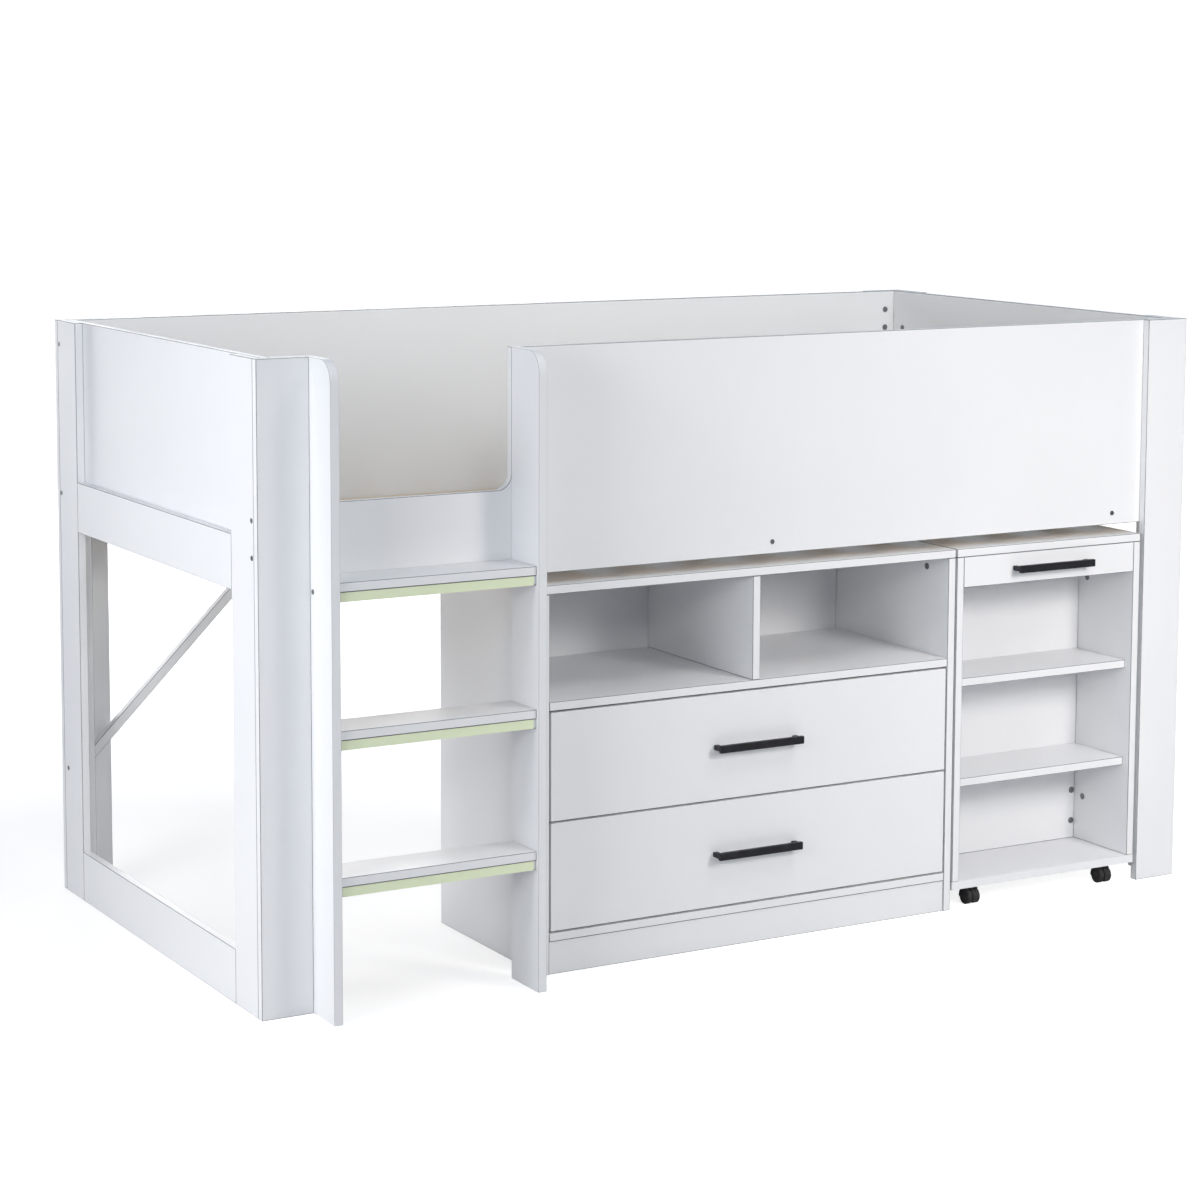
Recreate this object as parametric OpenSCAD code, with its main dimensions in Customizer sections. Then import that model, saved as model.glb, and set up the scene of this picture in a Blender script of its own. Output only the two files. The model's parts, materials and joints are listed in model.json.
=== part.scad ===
/* [Bed frame] */
// Length over the end frames
bed_length = 1980; // [1900:10:2100]
// Width over the front and rear post faces
bed_width = 980; // [930:10:1100]
// Height of the posts, the guards and the ladder
bed_height = 1120; // [1050:10:1400]
// Thickness of every coated board
board = 16; // [12:1:20]
// Width of the post boards that face the front and the rear
post_face = 95; // [70:1:120]
// Depth of the posts along the bed ends, with the face board
post_side = 113; // [80:1:140]
// Height of the guards' lower edge above the floor
guard_bottom = 720; // [716:1:800]
// Height of the rails in the end frames
end_rail = 96; // [60:1:140]
// Width of the strips that stiffen the posts from inside
liner = 84; // [50:1:95]
// Height of the entry's sill in the front guard
entry_sill = 872; // [830:1:1000]
// Corner radius of the entry
entry_radius = 27; // [10:1:50]

/* [Mattress base] */
// Number of slats
slat_count = 14; // [10:1:16]
// Width of one slat
slat_width = 70; // [50:1:80]
// Thickness of one slat
slat_thick = 10; // [8:1:18]
// Height of the slat rails' underside above the floor
rail_bottom = 718; // [717:1:724]
// Height of the front slat rail
front_rail = 50; // [36:1:60]
// Height of the rear slat rail
rear_rail = 19; // [18:1:60]
// Depth of the slat rails
rail_depth = 34; // [24:1:50]
// Thickness of the brace behind the open bay
brace = 18; // [12:1:22]

/* [Ladder] */
// Inner width between the stringers
ladder_inner = 373; // [300:1:400]
// Depth of the stringers
stringer_depth = 100; // [80:1:140]
// Radius of the stringers' top front corners
stringer_radius = 38; // [10:1:60]
// Height from one step to the next
step_rise = 250; // [200:5:250]
// Depth of a step
step_depth = 92; // [70:1:98]
// Height of the batten under a step's front edge
batten = 17; // [12:1:30]

/* [Chest] */
// Position of the chest's left side from the bed's left end
chest_x = 535; // [520:1:560]
// Width of the chest
chest_width = 893; // [700:1:893]
// Depth of the chest
chest_depth = 396; // [350:1:450]
// Height of the chest and of the desk
unit_height = 700; // [690:1:700]
// Height of the plinth
plinth = 60; // [40:1:80]
// Height of the shelf's upper face
shelf_top = 492; // [470:1:520]
// Gap round a drawer front
front_gap = 3; // [2:0.5:4]

/* [Drawers] */
// Depth of a drawer box
box_depth = 350; // [300:1:350]
// Height of a drawer box
box_height = 140; // [80:1:150]
// Thickness of the drawer box boards
box_board = 12; // [9:1:15]
// Space for a runner at each side of a box
runner_space = 12.5; // [12.5:0.5:15]

/* [Handles] */
// Length of a bar handle
handle_length = 180; // [96:1:220]
// Height of the handle's bar
handle_height = 14; // [10:1:18]
// Thickness of the handle's bar
handle_thick = 8; // [6:1:12]
// Reach of a handle from the board it sits on
handle_reach = 26; // [20:1:34]

/* [Desk] */
// Width of the pull-out desk
desk_width = 444; // [380:1:444]
// Length of the desk top, front to rear
desk_length = 900; // [700:10:900]
// Depth of the bookcase at the front of the desk
bookcase_depth = 183; // [150:1:260]
// Height of the apron under the desk top
apron = 59; // [40:1:80]
// Height of the stretcher under the desk top
stretcher = 80; // [60:1:120]

/* [Castors] */
// Height of a castor under its board
castor_height = 38; // [36:1:44]
// Radius of a castor wheel
wheel_r = 15; // [12:0.5:15]
// Distance from the swivel axis back to the axle
trail = 12; // [8:1:14]
// Distance of the swivel axes from the desk's sides
castor_inset = 60; // [40:1:100]

/* [Hidden] */

$fn = 64;

white = [0.90, 0.91, 0.94];
pine = [0.80, 0.66, 0.46];
black = [0.06, 0.06, 0.07];
zinc = [0.62, 0.63, 0.65];
glow = [0.80, 0.90, 0.68];

// The drawing corner is the front left post's foot; the origin is the middle of the floor plan.
ladder_out = stringer_depth - board;
origin_shift = [-bed_length / 2, -(bed_width - ladder_out) / 2, 0];

inner_x = 2 * board;
inner_length = bed_length - 4 * board;
inner_y = 2 * board;
inner_width = bed_width - 4 * board;
guard_height = bed_height - guard_bottom;
end_frame_width = bed_width - 2 * post_side;

stringer_x = post_face;
step_x = stringer_x + board;
right_stringer_x = step_x + ladder_inner;
step_front = board - step_depth;
strip_thick = 1;
strip_inset = 5;

rail_lip = 9;
rail_upright = 8;
slat_z = rail_bottom + rail_lip;
slat_end_gap = 22;
slat_pitch = (inner_length - 2 * slat_end_gap - slat_width) / (slat_count - 1);
slat_clear = 0.5;
brace_rise = 461;
brace_foot = rail_bottom - brace_rise;
brace_y = bed_width - inner_y - 5;

chest_inner_x = chest_x + board;
chest_inner = chest_width - 2 * board;
chest_back_y = chest_depth - 20;
back_thick = 4;
divider_x = chest_x + chest_width / 2 - board / 2;
front_height = (shelf_top - board - plinth - board - 3 * front_gap + 1) / 2;
lower_front_z = plinth + board + front_gap - 0.5;
upper_front_z = lower_front_z + front_height + front_gap;
box_lift = 18;
part_gap = 0.1;
runner_sheet = 1.5;
runner_height = 20;
runner_flange = 10;

desk_x = chest_x + chest_width + 4;
desk_inner_x = desk_x + board;
desk_inner = desk_width - 2 * board;
desk_base_z = castor_height;
desk_side_height = unit_height - 2 * board - desk_base_z;
shelf_back = 19;
shelf_bay = (unit_height - board - apron - desk_base_z - board - 2 * board) / 3;
castor_x = [desk_x + castor_inset, desk_x + desk_width - castor_inset];
front_castor_y = 35;
rear_castor_y = desk_length - board / 2;
stem_r = 4;
stem_fit = 0.05;
stem_length = 12;
cap_gap = 0.5;
axle_r = 2;
axle_fit = 0.05;
cap_r = 9.5;
cap_high = 5;
web_half = 3.5;
web_foot = 6;
hood_gap = 0.8;
hood_wall = 1.5;
hood_lip = 0.2;
wheel_inner = 4.3;
wheel_width = 9;
dish_deep = 1.2;
rim_wide = 3.5;
hub_r = 4.5;

head_r = 4.5;
head_proud = 1;
socket_r = 2.2;
cam_r = 6.5;
cam_proud = 0.6;
cross_wide = 1.6;
floor_of_cut = 0.2;
bolt_low = guard_bottom + 66;
bolt_high = bed_height - 46;
entry_bolt = entry_sill - 23;
rail_screw = guard_bottom + 22;
rail_screw_x = [chest_x + 489, bed_length - 164];
ladder_screw = [-10, guard_bottom + 7];
corner_cam_in = 24;
corner_cam_drop = [41, 81];
end_cam_in = 34;
chest_cam = [70, unit_height - 40];
desk_cam_in = 26;
desk_cam_z = [144, 594];
back_cam_in = 8;
back_cam_z = [90, 153];

// Places a shape drawn from the front left corner
module placed() {
    translate(origin_shift)
    children();
}

// A board from its low corner and its size
module board_at(low, size) {
    translate(low)
    cube(size);
}

// Draws a front left piece at any corner of the frame
module at_corner(right, rear) {
    if (right && rear)
        translate([bed_length, bed_width, 0])
        rotate([0, 0, 180])
        children();
    else if (right)
        translate([bed_length, 0, 0])
        mirror([1, 0, 0])
        children();
    else if (rear)
        translate([0, bed_width, 0])
        mirror([0, 1, 0])
        children();
    else
        children();
}

// Draws a left end piece at the left or the right end
module at_end(right) {
    if (right)
        translate([bed_length, 0, 0])
        mirror([1, 0, 0])
        children();
    else
        children();
}

module post_face_board(right, rear) {
    color(white)
    placed()
    at_corner(right, rear)
    board_at([0, 0, 0], [post_face, board, bed_height]);
}

module post_side_board(right, rear) {
    color(white)
    placed()
    at_corner(right, rear)
    board_at([0, board, 0], [board, post_side - board, bed_height]);
}

// The strips behind the post sides, under the end panels
module post_liners() {
    color(white)
    placed()
    for (right = [false, true], rear = [false, true])
        at_corner(right, rear)
        board_at([board, board, 0], [board, liner, guard_bottom]);
}

// The bottom rail and the middle rail of one end frame
module end_rails(right) {
    color(white)
    placed()
    at_end(right)
    for (z = [0, guard_bottom])
        board_at([0, post_side, z], [board, end_frame_width, end_rail]);
}

module end_panel(right) {
    color(white)
    placed()
    at_end(right)
    board_at([board, board, guard_bottom], [board, bed_width - 2 * board, guard_height]);
}

// The entry between the stringers, open at the top and rounded at its lower corners
module entry_outline() {
    height = bed_height - entry_sill + 1;
    translate([0, entry_radius])
    square([ladder_inner, height - entry_radius]);
    translate([entry_radius, 0])
    square([ladder_inner - 2 * entry_radius, height]);
    for (x = [entry_radius, ladder_inner - entry_radius])
        translate([x, entry_radius])
        circle(entry_radius);
}

module front_guard() {
    color(white)
    placed()
    difference() {
        board_at([inner_x, board, guard_bottom], [inner_length, board, guard_height]);
        translate([step_x, 2 * board + 1, entry_sill])
        rotate([90, 0, 0])
        linear_extrude(board + 2)
        entry_outline();
    }
}

module rear_guard() {
    color(white)
    placed()
    board_at([inner_x, bed_width - 2 * board, guard_bottom], [inner_length, board, guard_height]);
}

// An L section: the upright stands against the guard and the lip carries the slats
module slat_rail_outline(height) {
    square([rail_upright, height]);
    square([rail_depth, rail_lip]);
}

module slat_rails() {
    color(pine)
    placed() {
        translate([inner_x, inner_y, rail_bottom])
        rotate([90, 0, 90])
        linear_extrude(inner_length)
        slat_rail_outline(front_rail);
        translate([inner_x, bed_width - inner_y, rail_bottom])
        rotate([90, 0, 90])
        linear_extrude(inner_length)
        mirror([1, 0])
        slat_rail_outline(rear_rail);
    }
}

module slats() {
    reach = inner_width - 2 * rail_upright - 2 * slat_clear;
    first = inner_x + slat_end_gap;
    color(pine)
    placed()
    for (i = [0 : slat_count - 1])
        board_at(
            [first + i * slat_pitch, inner_y + rail_upright + slat_clear, slat_z],
            [slat_width, reach, slat_thick]
        );
}

// A square bar at 45 degrees from the rear left post up to the rear slat rail
module rear_brace() {
    half = brace / sqrt(2);
    color(white)
    placed()
    translate([inner_x, brace_y + brace / 2, brace_foot])
    rotate([90, 0, 0])
    linear_extrude(brace)
    polygon([
        [0, -half], [brace_rise + half, brace_rise], [brace_rise - half, brace_rise], [0, half],
    ]);
}

// A bolt head with a hexagon socket, with its outer face towards +Z
module bolt_head() {
    difference() {
        cylinder(r = head_r, h = head_proud);
        translate([0, 0, floor_of_cut])
        cylinder(r = socket_r, h = head_proud, $fn = 6);
    }
}

// A cam lock's disc with its cross slot, with its outer face towards +Z
module cam_disc() {
    difference() {
        cylinder(r = cam_r, h = cam_proud);
        for (turn = [0, 90])
            translate([0, 0, floor_of_cut + cam_proud / 2])
            rotate([0, 0, turn])
            cube([1.25 * cam_r, cross_wide, cam_proud], center = true);
    }
}

// Turns a fitting so that its outer face looks along the given horizontal direction
module facing(direction) {
    rotate([0, 0, direction])
    rotate([0, 90, 0])
    children();
}

module bed_fixings() {
    guard_y = 1.5 * board;
    rear_guard_y = bed_width - guard_y;
    color(zinc)
    placed() {
        // Bolts through the end frames into the guards
        for (y = [guard_y, rear_guard_y])
            translate([0, y, bolt_low])
            facing(180)
            bolt_head();
        translate([0, guard_y, entry_bolt])
        facing(180)
        bolt_head();
        translate([0, rear_guard_y, bolt_high])
        facing(180)
        bolt_head();
        for (y = [guard_y, rear_guard_y], z = [bolt_low, bolt_high])
            translate([bed_length, y, z])
            facing(0)
            bolt_head();
        // The brace's screw in the left end
        translate([0, brace_y, brace_foot - 10])
        facing(180)
        bolt_head();
        // The screws that hold the front slat rail
        for (x = rail_screw_x)
            translate([x, board, rail_screw])
            facing(-90)
            bolt_head();
        // The screw at the ladder's left edge
        translate([stringer_x, ladder_screw[0], ladder_screw[1]])
        facing(180)
        bolt_head();
        // Cam locks on the inner faces at the rear corners
        for (x = [inner_x + corner_cam_in, bed_length - inner_x - corner_cam_in])
            for (drop = corner_cam_drop)
                translate([x, bed_width - inner_y, bed_height - drop])
                facing(-90)
                cam_disc();
        translate([inner_x, bed_width - inner_y - end_cam_in, bed_height - corner_cam_drop[1]])
        facing(0)
        cam_disc();
        translate([
            bed_length - inner_x, bed_width - inner_y - end_cam_in, bed_height - corner_cam_drop[1],
        ])
        facing(180)
        cam_disc();
        // Cam lock under the chest's top
        translate([chest_x + chest_width - board, chest_cam[0], chest_cam[1]])
        facing(180)
        cam_disc();
    }
}

// A stringer's side view: a tall board with its top front corner rounded
module stringer_outline() {
    radius = stringer_radius;
    translate([radius, 0])
    square([stringer_depth - radius, bed_height]);
    square([stringer_depth, bed_height - radius]);
    translate([radius, bed_height - radius])
    circle(radius);
}

module stringer(x) {
    color(white)
    placed()
    translate([x, -ladder_out, 0])
    rotate([90, 0, 90])
    linear_extrude(board)
    stringer_outline();
}

module ladder_step(number) {
    color(white)
    placed()
    board_at(
        [step_x, step_front, number * step_rise - board],
        [ladder_inner, step_depth, board]
    );
}

module step_battens() {
    color(white)
    placed()
    for (number = [1 : 3])
        board_at(
            [step_x, step_front + 2, number * step_rise - board - batten],
            [ladder_inner, board, batten]
        );
}

module glow_strips() {
    color(glow)
    placed()
    for (number = [1 : 3])
        board_at(
            [
                step_x + strip_inset,
                step_front + 2 - strip_thick,
                number * step_rise - board - batten,
            ],
            [ladder_inner - 2 * strip_inset, strip_thick, batten - 1]
        );
}

module chest_top() {
    color(white)
    placed()
    board_at([chest_x, 0, unit_height - board], [chest_width, chest_depth, board]);
}

module chest_side(x) {
    color(white)
    placed()
    board_at([x, 0, 0], [board, chest_depth, unit_height - board]);
}

module chest_shelf() {
    color(white)
    placed()
    board_at([chest_inner_x, 0, shelf_top - board], [chest_inner, chest_back_y, board]);
}

module chest_divider() {
    color(white)
    placed()
    board_at([divider_x, 0, shelf_top], [board, chest_back_y, unit_height - board - shelf_top]);
}

module chest_bottom() {
    color(white)
    placed()
    board_at([chest_inner_x, 0, plinth], [chest_inner, chest_back_y, board]);
}

module chest_plinth() {
    color(white)
    placed()
    board_at([chest_inner_x, 2, 0], [chest_inner, board, plinth]);
}

module chest_back() {
    color(white)
    placed()
    board_at(
        [chest_inner_x, chest_back_y, plinth],
        [chest_inner, back_thick, unit_height - board - plinth]
    );
}

// A channel, open towards the drawer, on the left side of a bay
module runner_channel() {
    board_at([0, 0, 0], [runner_sheet, box_depth, runner_height]);
    board_at([0, 0, 0], [runner_flange, box_depth, runner_sheet]);
    board_at([0, 0, runner_height - runner_sheet], [runner_flange, box_depth, runner_sheet]);
}

// The strip on a drawer's left side, with the flange that runs in the channel
module runner_strip() {
    low = 3;
    inner = runner_space - part_gap;
    board_at([inner - runner_sheet, 0, -1], [runner_sheet, box_depth - 6, runner_height + 2]);
    board_at([low, 0, low - 0.5], [inner - low, box_depth - 6, runner_sheet]);
}

// Draws a left bay piece on the left and, mirrored, on the right of the chest
module both_bay_sides() {
    translate([chest_inner_x, board, 0])
    children();
    translate([chest_inner_x + chest_inner, board, 0])
    mirror([1, 0, 0])
    children();
}

module chest_runners() {
    color(zinc)
    placed()
    for (z = [lower_front_z, upper_front_z])
        both_bay_sides()
        translate([0, 0, z + box_lift + 4])
        runner_channel();
}

module drawer_front(z) {
    color(white)
    placed()
    board_at(
        [chest_inner_x + front_gap, 0, z],
        [chest_inner - 2 * front_gap, board, front_height]
    );
}

// Two sides, a back, a bottom panel and two runner strips
module drawer_box(z) {
    base = z + box_lift;
    bottom_thick = 4;
    bottom_lift = 8;
    inner_left = chest_inner_x + runner_space + box_board + part_gap;
    inner_span = chest_inner - 2 * (runner_space + box_board + part_gap);
    start = board + part_gap;
    color(white)
    placed() {
        both_bay_sides()
        board_at([runner_space, part_gap, base], [box_board, box_depth - part_gap, box_height]);
        both_bay_sides()
        translate([0, part_gap, base + 4])
        runner_strip();
        board_at(
            [inner_left, board + box_depth - box_board, base],
            [inner_span, box_board, box_height]
        );
        board_at(
            [inner_left, start, base + bottom_lift],
            [inner_span, box_depth - box_board - 2 * part_gap, bottom_thick]
        );
    }
}

// A square bar on two legs, centred on the origin, against the face y = 0
module bar_handle() {
    leg_wide = 10;
    leg_high = 9;
    half = handle_length / 2;
    translate([-half, -handle_reach, -handle_height / 2])
    cube([handle_length, handle_thick, handle_height]);
    for (x = [-half, half - leg_wide])
        translate([x, -handle_reach + handle_thick - 1, -leg_high / 2])
        cube([leg_wide, handle_reach - handle_thick + 1, leg_high]);
}

module handle_at(x, z) {
    color(black)
    placed()
    translate([x, 0, z])
    bar_handle();
}

module desk_top() {
    color(white)
    placed()
    board_at([desk_x, 0, unit_height - board], [desk_width, desk_length, board]);
}

module desk_side(x) {
    color(white)
    placed()
    board_at([x, 0, desk_base_z + board], [board, bookcase_depth, desk_side_height]);
}

// A socket for a castor's stem, from the height z upwards
module stem_socket(x, y) {
    translate([x, y, desk_base_z - 1])
    cylinder(r = stem_r + stem_fit, h = stem_length + 2);
}

module desk_base() {
    color(white)
    placed()
    difference() {
        board_at([desk_x, 0, desk_base_z], [desk_width, bookcase_depth, board]);
        for (x = castor_x)
            stem_socket(x, front_castor_y);
    }
}

module desk_shelves() {
    color(white)
    placed()
    for (bay = [1, 2])
        board_at(
            [desk_inner_x, shelf_back, desk_base_z + board + bay * shelf_bay + (bay - 1) * board],
            [desk_inner, bookcase_depth - board - shelf_back, board]
        );
}

module desk_back() {
    color(white)
    placed()
    board_at(
        [desk_inner_x, bookcase_depth - board, desk_base_z + board],
        [desk_inner, board, desk_side_height]
    );
}

module desk_apron() {
    color(white)
    placed()
    board_at([desk_inner_x, 0, unit_height - board - apron], [desk_inner, board, apron]);
}

module desk_rear_leg() {
    color(white)
    placed()
    difference() {
        board_at(
            [desk_x, desk_length - board, desk_base_z],
            [desk_width, board, unit_height - board - desk_base_z]
        );
        for (x = castor_x)
            stem_socket(x, rear_castor_y);
    }
}

module desk_stretcher() {
    color(white)
    placed()
    board_at(
        [desk_x, bookcase_depth, unit_height - board - stretcher],
        [board, desk_length - board - bookcase_depth, stretcher]
    );
}

module desk_fixings() {
    side_x = desk_x + desk_width - board;
    back_y = bookcase_depth - board;
    color(zinc)
    placed() {
        for (z = desk_cam_z)
            translate([side_x, back_y - desk_cam_in, z])
            facing(180)
            cam_disc();
        for (z = back_cam_z)
            translate([side_x - back_cam_in, back_y, z])
            facing(-90)
            cam_disc();
    }
}

// The fork of a twin-wheel castor: stem, cap, web between the wheels and hood over them
module castor_fork(x, y) {
    hood_inner = wheel_r + hood_gap;
    hood_outer = hood_inner + hood_wall;
    half_width = wheel_inner + wheel_width + hood_lip;
    cap_top = castor_height - cap_gap;
    color(black)
    placed()
    translate([x, y, 0]) {
        translate([0, 0, cap_top - 1])
        cylinder(r = stem_r, h = stem_length + 1);
        translate([0, 0, cap_top - cap_high])
        cylinder(r = cap_r, h = cap_high);
        translate([-web_half, 0, 0])
        rotate([90, 0, 90])
        linear_extrude(2 * web_half)
        web_outline(hood_outer, cap_top);
        translate([-half_width, 0, 0])
        rotate([90, 0, 90])
        linear_extrude(2 * half_width)
        hood_outline(hood_inner, hood_outer);
    }
}

// The web's side view: a round cheek about the axle, a neck up to the cap, and the axle's bore
module web_outline(outer, cap_top) {
    difference() {
        union() {
            intersection() {
                translate([-trail, wheel_r])
                circle(outer - 0.5);
                translate([-trail - outer, web_foot])
                square([2 * outer, outer + wheel_r]);
            }
            polygon([[-9, wheel_r], [7, 22], [9, cap_top - 3], [-9, cap_top - 3]]);
        }
        translate([-trail, wheel_r])
        circle(axle_r + axle_fit);
    }
}

// The hood's side view: a part ring over the wheels
module hood_outline(inner, outer) {
    intersection() {
        translate([-trail, wheel_r])
        difference() {
            circle(outer);
            circle(inner);
        }
        translate([-trail, wheel_r])
        polygon([[-2, 0], [-10, outer + 5], [outer + 5, outer + 5], [outer + 5, -4]]);
    }
}

// One wheel, from its inner face at z = 0, with a dished outer face
module castor_wheel() {
    difference() {
        cylinder(r = wheel_r, h = wheel_width);
        translate([0, 0, wheel_width - dish_deep])
        difference() {
            cylinder(r = wheel_r - rim_wide, h = dish_deep + 1);
            translate([0, 0, -1])
            cylinder(r = hub_r, h = dish_deep + 3);
        }
    }
}

module castor_wheels(x, y) {
    color(black)
    placed()
    translate([x, y - trail, wheel_r]) {
        rotate([0, 90, 0])
        translate([0, 0, wheel_inner])
        castor_wheel();
        rotate([0, -90, 0])
        translate([0, 0, wheel_inner])
        castor_wheel();
        translate([-wheel_inner - 1, 0, 0])
        rotate([0, 90, 0])
        cylinder(r = axle_r, h = 2 * wheel_inner + 2);
    }
}

chest_middle = chest_x + chest_width / 2;
desk_middle = desk_x + desk_width / 2;

post_face_board(false, false);  // front_left_post_face
post_side_board(false, false);  // front_left_post_side
post_face_board(true, false);  // front_right_post_face
post_side_board(true, false);  // front_right_post_side
post_face_board(false, true);  // rear_left_post_face
post_side_board(false, true);  // rear_left_post_side
post_face_board(true, true);  // rear_right_post_face
post_side_board(true, true);  // rear_right_post_side
post_liners();
end_rails(false);  // left_end_rails
end_rails(true);  // right_end_rails
end_panel(false);  // left_end_panel
end_panel(true);  // right_end_panel
front_guard();
rear_guard();
slat_rails();
slats();
rear_brace();
bed_fixings();
stringer(stringer_x);  // ladder_left_stringer
stringer(right_stringer_x);  // ladder_right_stringer
ladder_step(1);  // ladder_bottom_step
ladder_step(2);  // ladder_middle_step
ladder_step(3);  // ladder_top_step
step_battens();
glow_strips();
chest_top();
chest_side(chest_x);  // chest_left_side
chest_side(chest_x + chest_width - board);  // chest_right_side
chest_shelf();
chest_divider();
chest_bottom();
chest_plinth();
chest_back();
chest_runners();
drawer_front(upper_front_z);  // upper_drawer_front
drawer_box(upper_front_z);  // upper_drawer_box
handle_at(chest_middle, upper_front_z + front_height / 2);  // upper_drawer_handle
drawer_front(lower_front_z);  // lower_drawer_front
drawer_box(lower_front_z);  // lower_drawer_box
handle_at(chest_middle, lower_front_z + front_height / 2);  // lower_drawer_handle
desk_top();
desk_side(desk_x);  // desk_left_side
desk_side(desk_x + desk_width - board);  // desk_right_side
desk_base();
desk_shelves();
desk_back();
desk_apron();
handle_at(desk_middle, unit_height - board - apron / 2);  // desk_handle
desk_rear_leg();
desk_stretcher();
desk_fixings();
castor_fork(castor_x[0], front_castor_y);  // front_left_castor_fork
castor_wheels(castor_x[0], front_castor_y);  // front_left_castor_wheels
castor_fork(castor_x[1], front_castor_y);  // front_right_castor_fork
castor_wheels(castor_x[1], front_castor_y);  // front_right_castor_wheels
castor_fork(castor_x[0], rear_castor_y);  // rear_left_castor_fork
castor_wheels(castor_x[0], rear_castor_y);  // rear_left_castor_wheels
castor_fork(castor_x[1], rear_castor_y);  // rear_right_castor_fork
castor_wheels(castor_x[1], rear_castor_y);  // rear_right_castor_wheels
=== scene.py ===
"""The looks of a mid-height loft bed with a ladder, a drawer chest and a pull-out desk."""

import bpy
import json
import math
from mathutils import Matrix, Vector

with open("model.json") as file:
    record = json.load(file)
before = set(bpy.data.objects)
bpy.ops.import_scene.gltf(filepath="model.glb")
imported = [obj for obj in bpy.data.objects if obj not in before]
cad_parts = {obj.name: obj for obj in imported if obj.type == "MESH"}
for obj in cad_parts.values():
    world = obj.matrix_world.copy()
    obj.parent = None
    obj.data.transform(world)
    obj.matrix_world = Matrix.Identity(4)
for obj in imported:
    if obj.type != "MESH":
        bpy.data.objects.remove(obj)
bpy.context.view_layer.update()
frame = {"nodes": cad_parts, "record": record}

MM = 0.001
ALONG_X, ALONG_Y = 0, 1
WELD_GAP = 0.02 * MM
SHARP_ANGLE = math.radians(35)
NORMAL_WEIGHT = 50

# Bevel width and segments for each material slot; the slots that aren't listed are boards
BEVELS = {
    "pine": (1.5 * MM, 2),
    "black_metal": (0.9 * MM, 3),
    "zinc": (0.12 * MM, 1),
    "glow_strip": (0.12 * MM, 1),
    "castor_plastic": (0.5 * MM, 2),
    "castor_tread": (0.5 * MM, 2),
}
BOARD_BEVEL = (1.0 * MM, 2)
DRAWER_FRONT_BEVEL = (0.4 * MM, 2)

# Softboxes: name, place, aim, width and height, watts, colour, spread in degrees
LIGHTS = [
    ("key", (0.93, -2.77, 1.55), (0.80, -0.45, 0.30),
     (0.75, 0.9), 10.3, (1.0, 0.955, 0.92), 92.0),
    ("front_left", (-2.2, -4.54, 2.39), (0.0, 0.0, 0.6),
     (0.5, 0.5), 26.0, (0.98, 1.0, 0.96), 180.0),
    ("low_left", (-3.4, -1.8, 1.3), (-0.6, -0.4, 0.4),
     (1.0, 1.0), 8.4, (0.96, 0.98, 1.0), 110.0),
    ("left", (-2.6, -0.7, 1.8), (-0.9, -0.3, 0.5),
     (0.8, 0.8), 7.3, (0.95, 0.97, 1.0), 120.0),
    ("left_foot", (-3.0, -0.3, 0.5), (-0.99, -0.2, 0.15),
     (0.8, 0.6), 2.6, (1.0, 0.97, 0.94), 80.0),
    ("overhead", (1.2, -0.8, 3.4), (0.3, 0.0, 0.5),
     (1.4, 1.4), 14.0, (0.7, 0.93, 1.0), 180.0),
    ("inner", (0.3, -1.9, 2.9), (0.2, 0.4, 0.9),
     (0.7, 0.7), 6.5, (1.0, 0.93, 0.86), 120.0),
    ("right", (4.0, 0.6, 1.7), (0.99, 0.1, 0.5),
     (1.5, 1.2), 20.0, (1.0, 0.99, 0.97), 100.0),
    ("behind", (0.0, 6.0, 1.5), (0.0, 0.0, 0.6),
     (6.0, 3.0), 244.0, (1.0, 0.99, 0.97), 180.0),
]

scene = bpy.context.scene
scene.view_settings.view_transform = "Standard"


# ---------------------------------------------------------------- camera
def make_camera():
    """The camera stands at the front left, above the guards, with a long lens."""
    place = Vector((-2.91495, -4.96620, 1.55337))
    turn, tilt, roll = 0.5182, 0.1153, 0.0034  # from +Y towards +X, downwards, along the view
    data = bpy.data.cameras.new("camera")
    data.sensor_width = 36.0
    data.lens = 89.467
    data.shift_y = -0.1333
    data.clip_end = 100.0
    camera = bpy.data.objects.new("camera", data)
    scene.collection.objects.link(camera)
    level = Vector((math.cos(turn), -math.sin(turn), 0.0))
    forward = Vector((math.sin(turn), math.cos(turn), 0.0))
    ahead = math.cos(tilt) * forward - Vector((0.0, 0.0, math.sin(tilt)))
    above = level.cross(ahead)
    right = math.cos(roll) * level + math.sin(roll) * above
    up = math.cos(roll) * above - math.sin(roll) * level
    turned = Matrix((right, up, -ahead)).transposed()
    camera.matrix_world = Matrix.Translation(place) @ turned.to_4x4()
    scene.camera = camera


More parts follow.
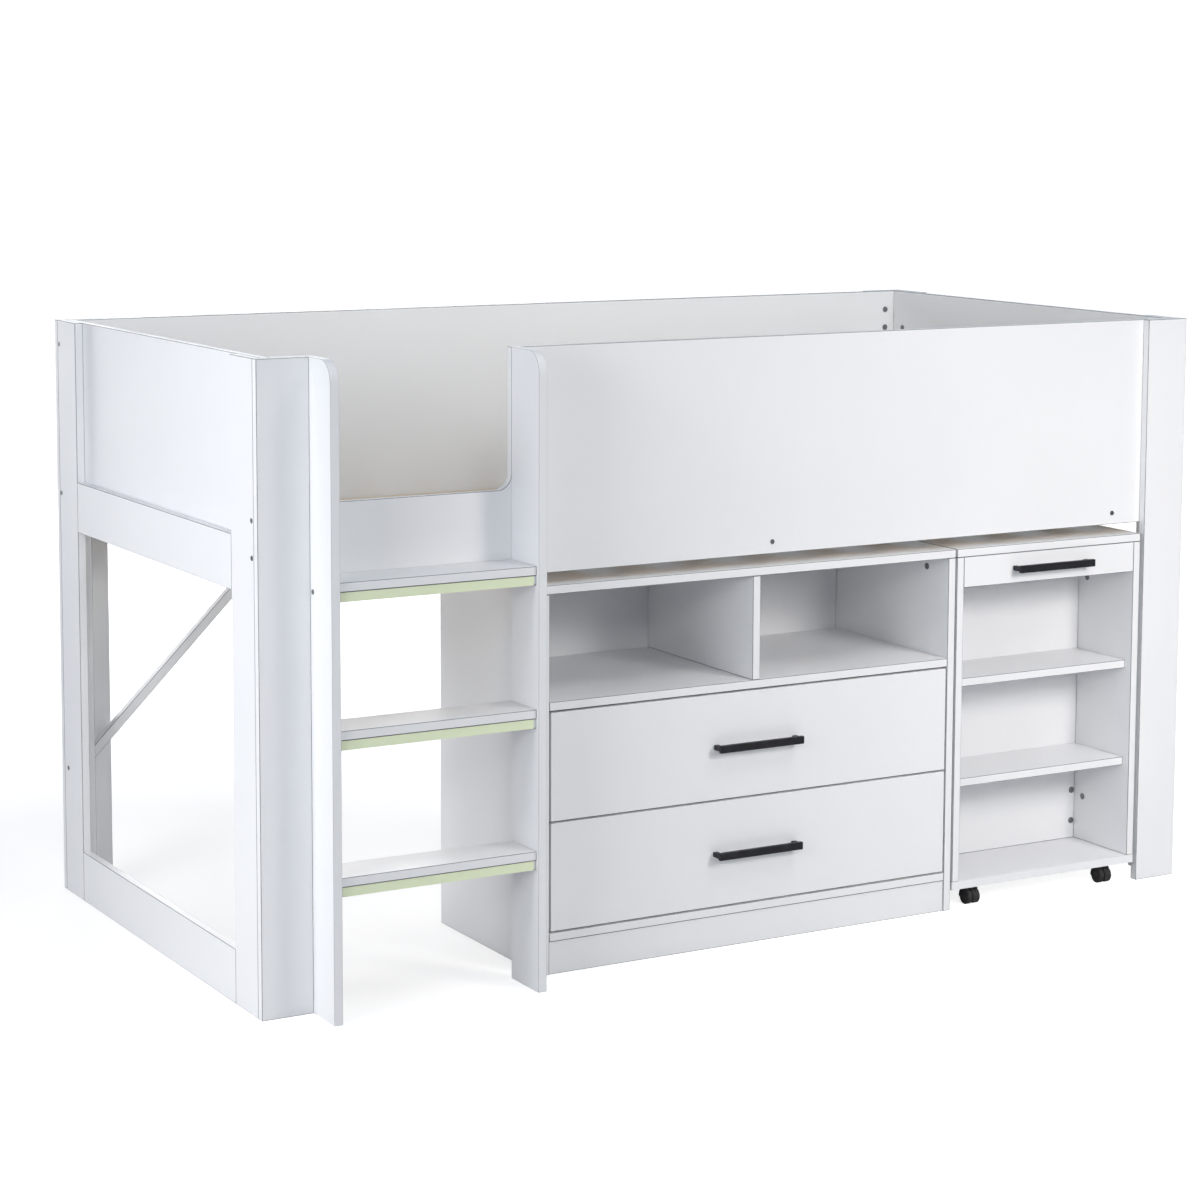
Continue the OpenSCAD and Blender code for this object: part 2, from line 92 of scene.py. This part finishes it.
# ---------------------------------------------------------------- node helpers
class Graph:
    """A small helper that adds and links shader nodes of one material."""

    def __init__(self, name):
        self.material = bpy.data.materials.new(name)
        self.material.use_nodes = True
        self.tree = self.material.node_tree
        self.tree.nodes.clear()
        self.output = self.tree.nodes.new("ShaderNodeOutputMaterial")
        self.shader = self.tree.nodes.new("ShaderNodeBsdfPrincipled")
        self.link(self.shader.outputs["BSDF"], self.output.inputs["Surface"])
        self.coords = self.tree.nodes.new("ShaderNodeTexCoord").outputs["Object"]

    def link(self, source, target):
        self.tree.links.new(source, target)

    def set(self, **values):
        """Sets the shader's own sockets; an underscore stands for a space."""
        for name, value in values.items():
            self.shader.inputs[name.replace("_", " ")].default_value = value

    def stretched(self, scale):
        """The object's coordinates, scaled differently along each axis."""
        node = self.tree.nodes.new("ShaderNodeMapping")
        node.inputs["Scale"].default_value = scale
        self.link(self.coords, node.inputs["Vector"])
        return node.outputs["Vector"]

    def noise(self, scale, detail=3.0, roughness=0.55, vector=None, distortion=0.0):
        node = self.tree.nodes.new("ShaderNodeTexNoise")
        node.inputs["Scale"].default_value = scale
        node.inputs["Detail"].default_value = detail
        node.inputs["Roughness"].default_value = roughness
        node.inputs["Distortion"].default_value = distortion
        self.link(vector or self.coords, node.inputs["Vector"])
        return node.outputs["Fac"]

    def remap(self, value, low, high, to_low=0.0, to_high=1.0):
        """Maps a socket's range from low to high onto to_low to to_high, and holds it there."""
        node = self.tree.nodes.new("ShaderNodeMapRange")
        node.inputs["From Min"].default_value = low
        node.inputs["From Max"].default_value = high
        node.inputs["To Min"].default_value = to_low
        node.inputs["To Max"].default_value = to_high
        self.link(value, node.inputs["Value"])
        return node.outputs["Result"]

    def math(self, operation, first, second):
        """A math node on a socket and a number or another socket."""
        node = self.tree.nodes.new("ShaderNodeMath")
        node.operation = operation
        self.link(first, node.inputs[0])
        if isinstance(second, float):
            node.inputs[1].default_value = second
        else:
            self.link(second, node.inputs[1])
        return node.outputs[0]

    def blend(self, share, first, second):
        """Mixes two colours, each a tuple or a socket, by a share from 0 to 1."""
        node = self.tree.nodes.new("ShaderNodeMix")
        node.data_type = "RGBA"
        self.link(share, node.inputs["Factor"])
        for socket, colour in (("A", first), ("B", second)):
            target = [s for s in node.inputs if s.name == socket and s.type == "RGBA"][0]
            if isinstance(colour, tuple):
                target.default_value = (*colour, 1.0)
            else:
                self.link(colour, target)
        return [s for s in node.outputs if s.type == "RGBA"][0]

    def bump(self, height, distance, strength, under=None):
        """A bump of a height socket, on top of the bump under it if there is one."""
        node = self.tree.nodes.new("ShaderNodeBump")
        node.inputs["Distance"].default_value = distance
        node.inputs["Strength"].default_value = strength
        self.link(height, node.inputs["Height"])
        if under is not None:
            self.link(under, node.inputs["Normal"])
        return node.outputs["Normal"]

    def colour(self, socket):
        self.link(socket, self.shader.inputs["Base Color"])

    def roughness(self, socket):
        self.link(socket, self.shader.inputs["Roughness"])

    def normal(self, socket):
        self.link(socket, self.shader.inputs["Normal"])


# ---------------------------------------------------------------- materials
def coated_board(name, light, dark, rough):
    """Melamine-faced board: a faint cloudy tone, a fine pearl emboss and soft smears."""
    g = Graph(name)
    cloud = g.remap(g.noise(2.6, detail=4.0), 0.3, 0.7)
    smears = g.remap(g.noise(7.0), 0.3, 0.7, rough - 0.05, rough + 0.06)
    g.colour(g.blend(cloud, light, dark))
    g.roughness(smears)
    pearl = g.bump(g.noise(850.0, detail=2.0, roughness=0.6), 0.06 * MM, strength=0.5)
    waves = g.noise(38.0, detail=2.0)
    g.normal(g.bump(waves, 0.6 * MM, strength=0.06, under=pearl))
    g.set(IOR=1.5, Specular_IOR_Level=0.40)
    return g.material


def edge_tape(name, light, rubbed, under):
    """A board's rounded edge: an edge tone mottled with a second tone in small patches, and
    painted shade, near black, on the bevel's downward faces.
    """
    g = Graph(name)
    # Patches of the second tone: light rubbing on the board edges, uneven painted shade on the
    # drawer-front gaps.
    rubs = g.remap(g.noise(130.0, detail=4.0, roughness=0.7), 0.45, 0.70)
    facing = g.tree.nodes.new("ShaderNodeSeparateXYZ")
    g.link(g.tree.nodes.new("ShaderNodeNewGeometry").outputs["Normal"], facing.inputs["Vector"])
    # Painted shade: where the bevel turns downwards it goes near black, standing in for the shadow
    # under each lower edge.
    painted_shade_below = g.remap(facing.outputs["Z"], -0.25, -0.02, 1.0, 0.0)
    g.colour(g.blend(painted_shade_below, g.blend(rubs, light, rubbed), under))
    g.set(Roughness=0.5, IOR=1.5)
    return g.material


def planed_pine(name, along):
    """Planed softwood with its grain along X or Y: year rings that bend round a few knots."""
    g = Graph(name)

    def grain(across, lengthwise):
        scale = [across, across, across]
        scale[along] = lengthwise
        return g.stretched(tuple(scale))

    knots = g.tree.nodes.new("ShaderNodeTexVoronoi")
    knots.inputs["Scale"].default_value = 1.0
    g.link(grain(11.0, 3.6), knots.inputs["Vector"])
    knot = knots.outputs["Distance"]
    fibres = g.noise(1.0, roughness=0.6, vector=grain(420.0, 6.0))
    flow = g.noise(1.0, detail=4.0, roughness=0.45, vector=grain(26.0, 0.9), distortion=1.6)
    swirl = g.math("ADD", flow, g.remap(knot, 0.0, 0.30, 0.22, 0.0))
    ring = 0.07
    light = g.remap(g.math("PINGPONG", swirl, ring), 0.0, ring)
    wood = g.blend(light, (0.62, 0.43, 0.24), (0.77, 0.60, 0.38))
    flecked = g.blend(g.remap(fibres, 0.35, 0.75, 0.0, 0.35), wood, (0.56, 0.38, 0.20))
    eye = g.remap(knot, 0.045, 0.075, 1.0, 0.0)
    g.colour(g.blend(eye, flecked, (0.24, 0.12, 0.055)))
    g.roughness(g.remap(fibres, 0.3, 0.7, 0.5, 0.68))
    g.normal(g.bump(fibres, 0.3 * MM, strength=0.35))
    return g.material


def powder_coat(name):
    """Satin black powder coat with a fine orange peel, rubbed smoother in places."""
    g = Graph(name)
    worn = g.noise(60.0, detail=4.0)
    rubbed = g.remap(worn, 0.45, 0.75)
    g.colour(g.blend(rubbed, (0.008, 0.008, 0.011), (0.018, 0.018, 0.022)))
    g.roughness(g.remap(worn, 0.3, 0.7, 0.55, 0.42))
    g.set(IOR=1.4)
    peel = g.noise(1500.0, detail=2.0)
    g.normal(g.bump(peel, 0.08 * MM, strength=0.5))
    return g.material


def zinc_plate(name):
    """Dull zinc plating on the screw heads, bolt heads, cam discs and drawer runners."""
    g = Graph(name)
    mottle = g.noise(420.0, detail=4.0, roughness=0.65)
    g.colour(g.blend(g.remap(mottle, 0.35, 0.65), (0.16, 0.165, 0.175), (0.34, 0.35, 0.36)))
    g.roughness(g.remap(mottle, 0.3, 0.7, 0.28, 0.46))
    g.set(Metallic=1.0)
    g.normal(g.bump(mottle, 0.05 * MM, strength=0.4))
    return g.material


def glow_plastic(name):
    """Pale green luminous plastic, slightly milky."""
    g = Graph(name)
    grain = g.noise(900.0)
    g.colour(g.blend(g.noise(14.0), (0.78, 0.86, 0.60), (0.84, 0.91, 0.65)))
    g.roughness(g.remap(grain, 0.3, 0.7, 0.38, 0.50))
    g.normal(g.bump(grain, 0.06 * MM, strength=0.4))
    return g.material


def nylon(name, tone, rough, grain_scale, depth):
    """Black moulded plastic with a spark-eroded grain and paler scuffs."""
    g = Graph(name)
    scuffs = g.noise(180.0, detail=4.0, roughness=0.7)
    g.colour(g.blend(g.remap(scuffs, 0.5, 0.8), (tone,) * 3, (tone * 2.4,) * 3))
    g.roughness(g.remap(scuffs, 0.3, 0.7, rough - 0.07, rough + 0.08))
    g.normal(g.bump(g.noise(grain_scale, detail=2.0), depth, strength=0.5))
    return g.material


def make_materials():
    """Every material of the bed, by name."""
    white, shade = (0.865, 0.87, 0.885), (0.84, 0.845, 0.86)
    # Near-black painted shade for the downward faces of the board edges.
    painted_underside_shade = (0.03, 0.028, 0.026)
    return {
        "white_board": coated_board("white_board", white, shade, 0.43),
        # Grey board edges: partly the tape's glue seam, partly painted shade along each arris that
        # draws the boards' outlines.
        "white_edge": edge_tape("white_edge", (0.27, 0.27, 0.27), (0.18, 0.178, 0.175), painted_underside_shade),
        # Near-black drawer-front edges: painted shade in the gaps between the fronts, mottled
        # between two dark tones.
        "painted_gap_shade": edge_tape("painted_gap_shade", (0.06, 0.059, 0.058), (0.04, 0.039, 0.038), painted_underside_shade),
        "white_paint": coated_board("white_paint", (0.86, 0.86, 0.87), (0.82, 0.82, 0.83), 0.45),
        "drawer_board": coated_board("drawer_board", (0.80, 0.80, 0.81), (0.76, 0.76, 0.775), 0.5),
        "back_panel": coated_board("back_panel", (0.84, 0.845, 0.86), (0.81, 0.815, 0.83), 0.55),
        "pine_across": planed_pine("pine_across", ALONG_Y),
        "pine_along": planed_pine("pine_along", ALONG_X),
        "black_metal": powder_coat("black_metal"),
        "zinc": zinc_plate("zinc"),
        "glow_strip": glow_plastic("glow_strip"),
        "castor_plastic": nylon("castor_plastic", 0.018, 0.45, 700.0, 0.08 * MM),
        "castor_tread": nylon("castor_tread", 0.022, 0.62, 500.0, 0.1 * MM),
    }


# ---------------------------------------------------------------- finishing the frame's nodes
def soften(thing, width, segments, edge_slot=None):
    """Rounds a node's sharp edges slightly, without moving any of its own vertices."""
    weld = thing.modifiers.new("weld", "WELD")
    weld.merge_threshold = WELD_GAP
    bevel = thing.modifiers.new("bevel", "BEVEL")
    bevel.width = width
    bevel.segments = segments
    bevel.limit_method = "ANGLE"
    bevel.angle_limit = SHARP_ANGLE
    bevel.use_clamp_overlap = True
    bevel.loop_slide = False
    if edge_slot is not None:
        bevel.material = edge_slot
    even = thing.modifiers.new("even_normals", "WEIGHTED_NORMAL")
    even.weight = NORMAL_WEIGHT
    for face in thing.data.polygons:
        face.use_smooth = True


def finish_of(node, slot):
    """A node's materials, a board's edges second, and its bevel."""
    if slot == "pine":
        return ["pine_across" if node == "slats" else "pine_along"], BEVELS[slot]
    if slot in BEVELS:
        return [slot], BEVELS[slot]
    # Drawer fronts get thinner bevels whose edges carry the painted gap shade.
    if node.endswith("drawer_front"):
        return [slot, "painted_gap_shade"], DRAWER_FRONT_BEVEL
    return [slot, "white_edge"], BOARD_BEVEL


def dress(node, slot, materials):
    """Gives a node its materials and soft edges; a board's edges show its second material."""
    thing = frame["nodes"][node]
    names, (width, segments) = finish_of(node, slot)
    thing.data.materials.clear()
    for name in names:
        thing.data.materials.append(materials[name])
    soften(thing, width, segments, edge_slot=1 if len(names) > 1 else None)


# ---------------------------------------------------------------- studio
def soft_light(name, place, aim, size, power, colour, spread):
    """A rectangular softbox at place that faces aim; a spread below 180 narrows its beam."""
    data = bpy.data.lights.new(name, "AREA")
    data.shape = "RECTANGLE"
    data.size, data.size_y = size
    data.energy = power
    data.color = colour
    data.spread = math.radians(spread)
    light = bpy.data.objects.new(name, data)
    scene.collection.objects.link(light)
    light.location = place
    light.rotation_mode = "QUATERNION"
    light.rotation_quaternion = (Vector(aim) - Vector(place)).to_track_quat("-Z", "Y")


def camera_or_light(tree, to_light, to_camera):
    """A strength: a number for the light given, a number or a socket for what is seen directly."""
    path = tree.nodes.new("ShaderNodeLightPath")
    choice = tree.nodes.new("ShaderNodeMapRange")
    choice.inputs["To Min"].default_value = to_light
    if isinstance(to_camera, float):
        choice.inputs["To Max"].default_value = to_camera
    else:
        tree.links.new(to_camera, choice.inputs["To Max"])
    tree.links.new(path.outputs["Is Camera Ray"], choice.inputs["Value"])
    return choice.outputs["Result"]


def make_floor():
    """A plain pale floor that runs out of sight and glows more further from the bed's left end."""
    half = 60.0
    dimmest, distances, glows = (-0.8, 0.4, 0.0), (0.7, 2.2), (0.53, 1.0)
    corners = [(-half, -half, 0), (half, -half, 0), (half, half, 0), (-half, half, 0)]
    mesh = bpy.data.meshes.new("floor")
    mesh.from_pydata(corners, [], [(0, 1, 2, 3)])
    floor = bpy.data.objects.new("floor", mesh)
    scene.collection.objects.link(floor)
    material = bpy.data.materials.new("floor")
    material.use_nodes = True
    tree = material.node_tree
    tree.nodes.clear()
    output = tree.nodes.new("ShaderNodeOutputMaterial")
    added = tree.nodes.new("ShaderNodeAddShader")
    diffuse = tree.nodes.new("ShaderNodeBsdfDiffuse")
    diffuse.inputs["Color"].default_value = (0.6, 0.6, 0.6, 1.0)
    emission = tree.nodes.new("ShaderNodeEmission")
    away = tree.nodes.new("ShaderNodeVectorMath")
    away.operation = "DISTANCE"
    away.inputs[1].default_value = dimmest
    tree.links.new(tree.nodes.new("ShaderNodeTexCoord").outputs["Object"], away.inputs[0])
    glow = tree.nodes.new("ShaderNodeMapRange")
    for socket, value in zip(("From Min", "From Max", "To Min", "To Max"), (*distances, *glows)):
        glow.inputs[socket].default_value = value
    tree.links.new(away.outputs["Value"], glow.inputs["Value"])
    strength = camera_or_light(tree, 0.005, glow.outputs["Result"])
    tree.links.new(strength, emission.inputs["Strength"])
    tree.links.new(diffuse.outputs["BSDF"], added.inputs[0])
    tree.links.new(emission.outputs["Emission"], added.inputs[1])
    tree.links.new(added.outputs["Shader"], output.inputs["Surface"])
    mesh.materials.append(material)


def make_world():
    """A dim, slightly blue surround that shows as plain white behind the bed."""
    world = bpy.data.worlds.new("studio")
    world.use_nodes = True
    tree = world.node_tree
    tree.nodes.clear()
    output = tree.nodes.new("ShaderNodeOutputWorld")
    background = tree.nodes.new("ShaderNodeBackground")
    background.inputs["Color"].default_value = (0.74, 0.83, 1.0, 1.0)
    tree.links.new(camera_or_light(tree, 0.27, 1.5), background.inputs["Strength"])
    tree.links.new(background.outputs["Background"], output.inputs["Surface"])
    scene.world = world


def make_lights():
    """Softboxes on every side, placed by the photo's shadows and balanced against its tones."""
    for light in LIGHTS:
        soft_light(*light)


# ---------------------------------------------------------------- the scene
make_camera()
slots = {part["node"]: part["material_slot"] for part in frame["record"]["subparts"]}
materials = make_materials()
for node in sorted(frame["nodes"]):
    dress(node, slots[node], materials)
make_floor()
make_world()
make_lights()
